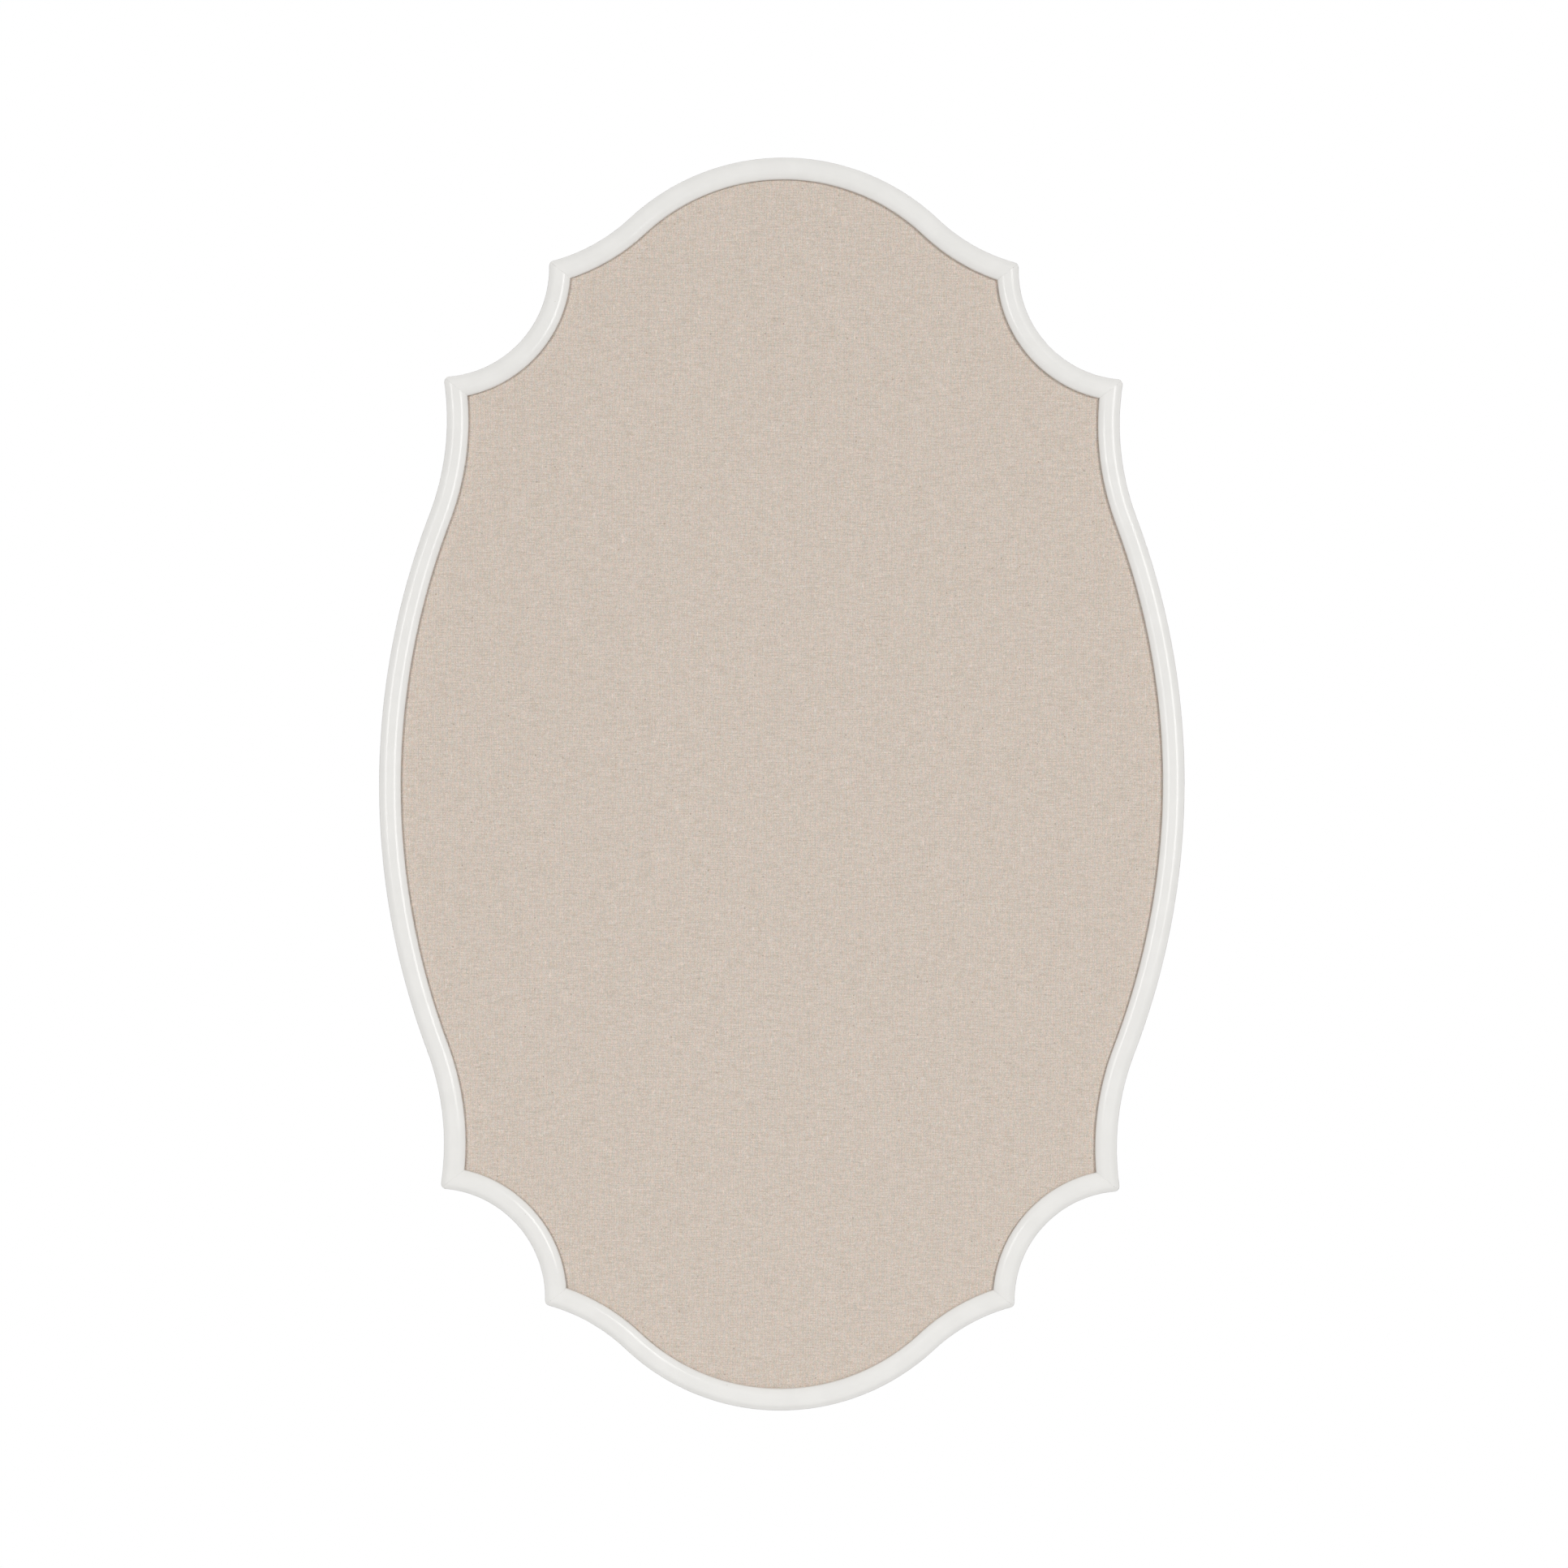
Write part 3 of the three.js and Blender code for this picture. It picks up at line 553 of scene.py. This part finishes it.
def thread_tone(along, count, reach, seed):
    """A tone along a thread: noise at its length times reach, a long stride on for each thread, so
    that neighbours are unlike."""
    return noise(joined(along * reach, count * thread_stride, seed), 1.0, 2.0, 0.6)


def specks(scale, across_scale, size, rare):
    """Scattered specks, one here and there in a grid of cells, by the distance from its middle."""
    spot = joined(across * scale * across_scale, upward * scale)
    cells = {"Vector": spot, "Scale": 1.0}
    away = start.node("ShaderNodeTexVoronoi", cells, out="Distance", voronoi_dimensions="2D")
    pick = start.node("ShaderNodeTexVoronoi", cells, out="Color", voronoi_dimensions="2D")
    return (1 - rise(away, size * 0.4, size)) * rise(split(pick)[0], rare, rare + 0.01)


weft_tone = thread_tone(across, weft_count, 110.0, 3.0)
warp_tone = thread_tone(upward, warp_count, 140.0, 11.0)
weft_slub = rise(thread_tone(across, weft_count, 90.0, 23.0), 0.60, 0.74)
warp_slub = rise(thread_tone(upward, warp_count, 90.0, 31.0), 0.64, 0.76)
tone = weft_tone + (warp_tone - weft_tone) * parity
slub = weft_slub + (warp_slub - weft_slub) * parity
mixed = noise(place, 1300.0, 2.0, 0.6)
fine = noise(place, 2000.0, 2.0, 0.7)
hue = noise(joined(across * 430.0, upward * 260.0), 1.0, 2.0, 0.6)
streak = noise(joined(across * 75.0, upward * 1250.0), 1.0, 2.0, 0.6)
reed = start.math("SINE", warp * math.pi) * 0.045 + start.math("SINE", weft * math.pi) * 0.03
stripe_turn = (across + wander) * (2 * math.pi / stripe_pitch)
stripe = start.math("SINE", stripe_turn + noise(place, 95.0) * 9.0)
nubs = specks(100.0, 2.9, 0.22, 0.975)
motes = specks(150.0, 1.0, 0.12, 0.965)
light = 0.52 + (tone - 0.5) * 0.9 + (mixed - 0.5) * 0.4 + (fine - 0.5) * 2.1 + (streak - 0.5) * 1.1
light = light + reed + slub * 0.2 + nubs * 0.35 - rise(streak, 0.60, 0.72) * 0.5
warmth = 0.5 + stripe * 0.24 + (hue - 0.5) * 2.0 + (warp_tone - 0.5) * 0.6
cool = blend(light, (0.456, 0.408, 0.342, 1), (0.730, 0.674, 0.624, 1))
warm = blend(light, (0.500, 0.400, 0.314, 1), (0.790, 0.667, 0.586, 1))
flax = blend(motes * 0.5, blend(warmth, cool, warm), (0.26, 0.19, 0.14, 1))
lint_noise = {"Vector": place, "Scale": 1500.0, "Detail": 1.0}
lint = start.node("ShaderNodeTexNoise", lint_noise, out="Color")
lint_reach, lint_mean = (0.12, 0.12, 0.12), (0.06, 0.06, 0.06)
flax = start.vector("MULTIPLY_ADD", lint, lint_reach, flax)
flax = start.vector("SUBTRACT", flax, lint_mean)
bulge = start.math("SINE", weft_share * math.pi) * start.math("SINE", warp_share * math.pi)
finish(
    start,
    Base_Color=flax,
    Roughness=0.86 + mixed * 0.1,
    Sheen_Weight=0.12,
    Sheen_Roughness=0.5,
    Specular_IOR_Level=0.25,
    Normal=bump(bulge * 0.7 + slub * 0.5 + mixed * 0.3, 0.00018, 0.6),
)

cover = skinned("linen_wrap", linen_surface(), capped=(False, True), sharp=linen_crease)
thickness = cover.modifiers.new("thickness", "SOLIDIFY")
thickness.thickness, thickness.offset = linen_thick, -1.0
dress(cover, linen, "linen", "board", "linen_cover")
cut_line = whole_outline(np.array([panel_inset - side_drop - turn_in]))[:, 0]


# The backing: a sheet of brown hardboard, pressed smooth, let into the rabbet behind the panel.
# The turn buttons have scuffed it where they swing.
scuff_inner, scuff_outer = (0.0140, 0.0155), (0.0175, 0.0200)


def squeezed(place, by):
    """Places with their heights multiplied, so that a pattern on them lies flatter and wider."""
    return place.node("ShaderNodeMapping", {"Vector": place, "Scale": (1.0, 1.0, by)})


hardboard, start, place = new_material("brown_hardboard")
pulp = noise(place, 260.0, 5.0, 0.7)
shive = noise(squeezed(place, 3.5), 500.0)
wash = noise(place, 9.0, 3.0)
quarter = start.vector("ABSOLUTE", place)


def scuff_ring(centre):
    """A worn arc round a button's screw, at the reach of the button's tip."""
    away = start.vector("DISTANCE", quarter, (centre.real, 0.0, centre.imag), out="Value")
    return rise(away, *scuff_inner) * (1 - rise(away, *scuff_outer))


worn = scuff_ring(crown_button) + scuff_ring(cove_button) + scuff_ring(rail_button)
worn = worn * rise(noise(place, 700.0, 3.0), 0.42, 0.6)
brown = blend(rise(pulp, 0.32, 0.68), (0.20, 0.115, 0.060, 1), (0.33, 0.205, 0.115, 1))
brown = blend(rise(shive, 0.6, 0.72) * 0.5, brown, (0.46, 0.31, 0.18, 1))
brown = blend(rise(wash, 0.3, 0.7) * 0.25, brown, (0.37, 0.25, 0.15, 1))
finish(
    start,
    Base_Color=blend(worn * 0.5, brown, (0.52, 0.39, 0.26, 1)),
    Roughness=0.5 + pulp * 0.2 + worn * 0.2,
    Normal=bump(pulp + shive * 0.5 - worn * 0.3, 0.00008, 0.4),
)
coat("backing_board", hardboard)


# The turn buttons: plates stamped from zinc-plated steel, a round end on the screw and a
# narrower tip that swings over the backing. Their edges are rolled over by the tumbling.
pivot_round, tip_end_round, button_reach = 0.0046, 0.0032, 0.017
button_low, button_high, button_hole = 0.0001, 0.0018, 0.0017
round_steps, tip_end_steps, line_steps = 33, 21, 10
hole_facing_tip = (6.05, 6.52)

zinc, start, place = new_material("zinc_plate")
spangle = noise(place, 800.0, 3.0, 0.6)
haze = noise(place, 150.0)
scratch = noise(squeezed(place, 14.0), 900.0)
silver = blend(rise(haze, 0.35, 0.65), (0.60, 0.615, 0.64, 1), (0.72, 0.715, 0.69, 1))
finish(
    start,
    Base_Color=blend(rise(spangle, 0.6, 0.75) * 0.4, silver, (0.44, 0.45, 0.47, 1)),
    Metallic=1.0,
    Roughness=0.26 + haze * 0.12 + rise(scratch, 0.55, 0.7) * 0.12,
    Normal=bump(spangle * 0.5 + scratch * 0.5, 0.00002, 0.3),
)


def button(name, point, inward):
    """A plate whose section, from the hole out to its edge, is carried once round. The edge is
    two arcs and the straight lines between them, and each of its points faces one of the hole's.
    A step of the section is its gap from the hole or, where outer, from the edge, and its depth."""
    lean = math.acos((pivot_round - tip_end_round) / button_reach)
    round_end = pivot_round * np.exp(1j * np.linspace(lean, 2 * np.pi - lean, round_steps))
    tip_end = button_reach + tip_end_round * np.exp(1j * np.linspace(-lean, lean, tip_end_steps))
    spans = ((round_end[-1], tip_end[0]), (tip_end[-1], round_end[0]))
    lines = [a + (b - a) * np.linspace(0, 1, line_steps)[1:-1] for a, b in spans]
    edge = np.concatenate([round_end, lines[0], tip_end, lines[1]])
    tip_first = len(round_end) + len(lines[0])
    tip_last = tip_first + len(tip_end) - 1
    corners = [0, len(round_end) - 1, tip_first, tip_last, len(edge)]
    facing = [lean, 2 * np.pi - lean, *hole_facing_tip, 2 * np.pi + lean]
    hole = button_hole * np.exp(1j * np.interp(np.arange(len(edge)), corners, facing))
    steps = [
        (0, button_low, False),
        (0, button_high - 0.0002, False),
        (0.0002, button_high, False),
        (0.0009, button_high, True),
        (0.0004, button_high - 0.0001, True),
        (0.0001, button_high - 0.0003, True),
        (0, button_high - 0.0006, True),
        (0, button_low + 0.0004, True),
        (0.0003, button_low, True),
    ]
    width = abs(edge - hole)
    shares = [1 - gap / width if outer else gap / width for gap, _, outer in steps]
    plan = hole[:, None] + (edge - hole)[:, None] * np.stack(shares, axis=1)
    plan = point + plan * inward / abs(inward)
    return skinned(name, in_space(plan, np.array([depth for _, depth, _ in steps])), looped=True)


fasteners = {"crown_top": (crown_button, -1j), "crown_bottom": (-crown_button, 1j)}
cove_inward, rail_inward = np.exp(1j * cove_middle), side_centre - rail_button
for where, signs in quarters.items():
    fasteners[f"cove_{where}"] = (turned(cove_button, *signs), turned(cove_inward, *signs))
    fasteners[f"rail_{where}"] = (turned(rail_button, *signs), turned(rail_inward, *signs))
for where, (point, inward) in fasteners.items():
    plate = button(f"button_plate_{where}", point, inward)
    dress(plate, zinc, "zinc_plate", f"turn_button_{where}", f"turn_button_{where}")


# The screws: round-headed brass wood screws, turned and then rolled with a thread, each with a
# cross recess struck in its head. Those of the buttons are their pivots.
screw_length, shank, neck = 0.012, 0.00125, -0.0012
point_length, point_blunt = 0.0028, 0.04
thread_pitch, thread_rise, thread_end = 0.0011, 0.00022, -0.0014
head_round, head_rim, head_high, head_ease = 0.0027, 0.0005, 0.0015, 0.0001
recess_half, recess_side, recess_reach, recess_end = 0.00056, 0.0003, 0.00165, 0.0005
recess_deep, recess_pit, pit_round, recess_turn = 0.0007, 0.0004, 0.0015, 0.35
screw_steps, thread_rows, dome_rows, dome_start, dome_close = 56, 62, 22, 0.12, 0.985
pivot_seat, strap_seat = 0.0021, 0.001

brass, start, place = new_material("brass_screw")
tarnish = noise(place, 900.0, 3.0, 0.6)
lathe = noise(place, 3200.0)
finish(
    start,
    Base_Color=blend(rise(tarnish, 0.45, 0.7), (0.72, 0.52, 0.24, 1), (0.50, 0.33, 0.14, 1)),
    Metallic=1.0,
    Roughness=0.22 + tarnish * 0.18,
    Normal=bump(lathe, 0.00001, 0.2),
)


def screw(name, point, seat):
    """A solid of revolution about the screw's axis, whose radius on the shank adds a ridge that
    climbs one pitch a turn, and whose dome sinks in by the cross recess: deep where the nearer
    of two axes is close and the further one not too far."""
    turn = np.linspace(0, 2 * np.pi, screw_steps, endpoint=False)
    down = np.linspace(-screw_length, thread_end, thread_rows)
    ridge = abs((down[:, None] / thread_pitch - turn / (2 * np.pi)) % 1.0 - 0.5) * 2
    taper = np.clip((down + screw_length) / point_length, point_blunt, 1.0)[:, None]
    thread = (shank + thread_rise * (1 - ridge) ** 2) * taper
    dome = np.linspace(dome_start, 1.0, dome_rows) * np.pi / 2
    dome_out = head_round * np.cos(dome * dome_close)
    dome_up = head_rim + (head_high - head_rim) * np.sin(dome)
    out = np.array([shank, shank, head_round - head_ease, head_round, head_round, *dome_out])
    up = np.array([neck, 0.0, 0.0, head_ease, head_rim, *dome_up])
    radius = np.vstack([thread, out[:, None] + 0 * turn])
    height = np.vstack([down[:, None] + 0 * turn, up[:, None] + 0 * turn])
    one, other = radius * abs(np.cos(turn)), radius * abs(np.sin(turn))
    near, far = np.minimum(one, other), np.maximum(one, other)
    cross = np.clip((recess_half - near) / recess_side, 0, 1)
    cross = cross * np.clip((recess_reach - far) / recess_end, 0, 1)
    recess = recess_deep + recess_pit * np.clip(1 - far / pit_round, 0, 1)
    sunk = cross * (height > head_rim) * recess
    plan = point + radius * np.exp(1j * (turn + recess_turn))
    return skinned(name, in_space(plan, seat + height - sunk))


for where, (point, _) in fasteners.items():
    pin = screw(f"pivot_screw_{where}", point, pivot_seat)
    dress(pin, brass, "brass_screw", "board", f"button_screw_{where}")
for side, sign_x in sides.items():
    for count, point in enumerate(hanger_screws, 1):
        pin = screw(f"strap_screw_{side}_{count}", turned(point, sign_x, 1), strap_seat)
        dress(pin, brass, "brass_screw", "board", f"hanger_screw_{side}_{count}")


# The hangers: a strip of zinc-plated steel folded round the bar of a wire D, screwed to the
# back of each rail. The D is butt-welded and swings up to its hook.
strap_thick, strap_width, strap_reach, strap_ease = 0.001, 0.0082, 0.0265, 0.00018
foot_steps, foot_start, flat_steps, curl_steps = 12, 0.06, 14, 34
curl_turn = math.radians(285)
wire, bar_height, ring_half, ring_leg, ring_corner = 0.0009, 0.0021, 0.0056, 0.004, 0.0012
wire_steps, bar_steps, corner_steps, bend_steps = 14, 10, 8, 36


def hung(local_x, depth, local_z, sign_x):
    """Points of a hanger laid along its own axis, turned and moved to its place on the rail."""
    plan = (local_x + 1j * local_z) * np.exp(1j * hanger_tilt) + hanger_bar
    return in_space(turned(plan, sign_x, 1), depth)


def strap_points(sign_x):
    """Rings of a rounded oblong round the strip's middle line, which runs flat and then turns
    about the bar. The width closes in a half circle at the foot."""
    half = strap_width / 2
    foot = half * (1 - np.cos(np.linspace(foot_start, 0.5, foot_steps) * np.pi))
    flat = np.linspace(half, strap_reach, flat_steps)[1:]
    middle = bar_height - strap_thick / 2
    curl = np.linspace(0, curl_turn, curl_steps)[1:]
    level = np.zeros(len(foot) + len(flat))
    z = np.concatenate([foot - strap_reach, flat - strap_reach, middle * np.sin(curl)])
    y = np.concatenate([level + strap_thick / 2, bar_height - middle * np.cos(curl)])
    lean = np.concatenate([level, curl])[:, None]
    wide = np.full(len(z), half)
    wide[: len(foot)] = np.sqrt(half**2 - (half - foot) ** 2)
    u = np.array([-1, -1, 1, 1, 1, 1, -1, -1])
    v = np.array([-1, -1, -1, -1, 1, 1, 1, 1])
    inset_u = np.array([0, 1, 1, 0, 0, 1, 1, 0]) * strap_ease
    inset_v = np.array([1, 0, 0, 1, 1, 0, 0, 1]) * strap_ease
    aside = u * (wide[:, None] - inset_u)
    over = v * (strap_thick / 2 - inset_v)
    return hung(aside, y[:, None] + over * np.cos(lean), z[:, None] - over * np.sin(lean), sign_x)


def ring_points(sign_x):
    """Rings of wire round a closed line: the bar between two tight corners, a leg down each
    side, and the bow. Each ring stands square to the mean of its two neighbouring sides."""
    reach = ring_half - ring_corner
    corner_right, corner_left = reach - 1j * ring_corner, -reach - 1j * ring_corner
    bar = np.linspace(-reach, reach, bar_steps)[1:-1]
    right = arc(corner_right, ring_corner, np.pi / 2, 0, corner_steps)[:, 0]
    bow = arc(-1j * ring_leg, ring_half, 0, -np.pi, bend_steps)[:, 0]
    left = arc(corner_left, ring_corner, np.pi, np.pi / 2, corner_steps)[:, 0]
    line = np.concatenate([bar, right, bow, left])
    way = np.roll(line, -1) - np.roll(line, 1)
    out = -1j * way / abs(way)
    turn = np.linspace(0, 2 * np.pi, wire_steps, endpoint=False)
    plan = line[:, None] + wire * np.cos(turn) * out[:, None]
    return hung(plan.real, bar_height + wire * np.sin(turn), plan.imag, sign_x)


for side, sign_x in sides.items():
    strap = skinned(f"folded_strap_{side}", strap_points(sign_x))
    cut(strap, [pilot_plug(turned(point, sign_x, 1)) for point in hanger_screws])
    dress(strap, zinc, "zinc_plate", "board", f"hanger_strap_{side}")
    ring = skinned(f"wire_ring_{side}", ring_points(sign_x), looped=True)
    dress(ring, zinc, "zinc_plate", f"hanger_ring_{side}", f"hanger_ring_{side}")


# The bumpers: soft clear-grey studs with glue on their backs, cast with a draft and a rounded
# rim, pressed on where the rails flare so that the board stands off the wall.
stud_foot, stud_wide, stud_flat, stud_round = 0.0044, 0.0045, 0.0031, 0.0009
stud_glue, stud_lip, stud_shoulder = 0.00002, 0.0002, 0.0041
dish_out, dish_up, stud_steps, rim_steps = (0.002, 0.0003), (0.00496, 0.00494), 36, 8
ogee_middle = (side_turn + np.pi + bearing(corner_tip, side_ogee_centre)) / 2
bumper_spot = side_ogee_centre + (side_ogee_radius + rim_width / 2) * np.exp(1j * ogee_middle)

rubber, start, place = new_material("soft_rubber")
dust = noise(place, 700.0, 3.0)
cloud = noise(place, 120.0)
finish(
    start,
    Base_Color=blend(cloud, (0.55, 0.56, 0.555, 1), (0.66, 0.665, 0.65, 1)),
    Roughness=0.42 + dust * 0.25,
    Normal=bump(dust, 0.00002, 0.3),
)


def stud(name, point):
    """A solid of revolution: a side that draws in, a quarter round and a faintly hollow top."""
    turn = np.linspace(0, np.pi / 2, rim_steps)
    rim_out = stud_flat + stud_round * np.cos(turn)
    rim_up = stud_shoulder + stud_round * np.sin(turn)
    out = np.array([stud_foot, stud_wide, *rim_out, *dish_out])
    up = np.array([stud_glue, stud_lip, *rim_up, *dish_up])
    return skinned(name, in_space(point + out[:, None] * circle(stud_steps), up[:, None]))


for where, signs in quarters.items():
    pad = stud(f"wall_stud_{where}", turned(bumper_spot, *signs))
    dress(pad, rubber, "bumper_rubber", "board", f"bumper_{where}")


# The studio: two softboxes that show in the gloss, two small lamps that draw the shadow along the
# lip, a low card, and a lamp behind for the back. A pale round floor below the board fades out to
# the white all round, and a long lens stands square to the front.
def emitter(name, place, size, power, target=(0.0, 0.0, 0.0), mirrored=True):
    """An oblong lamp at a place, facing a target. A mirrored one shows in the gloss."""
    lamp = bpy.data.lights.new(name, "AREA")
    lamp.shape, lamp.size, lamp.size_y, lamp.energy = "RECTANGLE", *size, power
    box = bpy.data.objects.new(name, lamp)
    box.location = place
    box.rotation_euler = (Vector(target) - Vector(place)).to_track_quat("-Z", "Y").to_euler()
    box.visible_camera, box.visible_glossy = False, mirrored
    bpy.context.scene.collection.objects.link(box)


emitter("softbox_left", (-1.75, -4.00, 0.27), (1.1, 1.05), 12.0)
emitter("softbox_right", (1.32, -4.00, 0.35), (1.2, 1.4), 20.5)
emitter("lamp_left", (-1.50, -3.60, 0.45), (0.5, 0.5), 41.6, mirrored=False)
emitter("lamp_right", (1.66, -3.60, 0.95), (0.5, 0.5), 49.6, mirrored=False)
emitter("low_card", (0.0, -1.00, -1.25), (2.4, 1.0), 3.3, (0.0, -0.3, 0.0))
emitter("back_lamp", (0.4, 3.20, 0.9), (1.2, 1.2), 45.0, mirrored=False)

world = bpy.data.worlds.new("white_room")
bpy.context.scene.world = world
world.use_nodes = True
world.node_tree.nodes.clear()
start = Shade(world.node_tree)
seen = start.node("ShaderNodeLightPath", out="Is Camera Ray")
for way in ("Is Glossy Ray", "Is Transmission Ray"):
    seen = start.math("MAXIMUM", seen, start.node("ShaderNodeLightPath", out=way))
height = split(start.node("ShaderNodeTexCoord", out="Object"))[2]
room_dim, room_gain, room_climb = 0.14, 0.26, (-0.2, 0.8)
room = room_dim + rise(height, *room_climb) * room_gain
strength = start.math("MAXIMUM", seen, room)
sky = start.node("ShaderNodeBackground", {"Color": (1, 1, 1, 1), "Strength": strength})
start.node("ShaderNodeOutputWorld", {"Surface": sky})

floor_low, floor_reach, floor_fade, floor_steps = -1.35, 2.2, (1.3, 2.15), 64
pale, start, place = new_material("pale_floor")
away = start.vector("LENGTH", place, out="Value")
grit = blend(noise(place, 40.0, 4.0), (0.63, 0.63, 0.63, 1), (0.67, 0.67, 0.67, 1))
matt = start.node("ShaderNodeBsdfDiffuse", {"Color": grit})
clear = start.node("ShaderNodeBsdfTransparent")
melting = start.node("ShaderNodeMixShader", {0: rise(away, *floor_fade), 1: matt, 2: clear})
start.node("ShaderNodeOutputMaterial", {"Surface": melting})
edge = floor_reach * circle(floor_steps)
rim = np.stack([edge.real, edge.imag, 0 * edge.real], axis=-1)
disc = bpy.data.meshes.new("floor")
disc.from_pydata(rim.tolist(), [], [list(range(floor_steps))])
disc.materials.append(pale)
floor = bpy.data.objects.new("floor", disc)
floor.location = (0.0, 0.0, floor_low)
bpy.context.scene.collection.objects.link(floor)

lens = bpy.data.cameras.new("camera")
lens.lens, lens.sensor_width, lens.clip_end = 85.0, 36.0, 50.0
camera = bpy.data.objects.new("camera", lens)
camera_place, camera_roll = (0.00156, -2.7206, 0.00006), -0.004
camera.location = camera_place
camera.rotation_euler = (math.pi / 2, camera_roll, 0.0)
bpy.context.scene.collection.objects.link(camera)
bpy.context.scene.camera = camera
bpy.context.scene.view_settings.view_transform = "Standard"
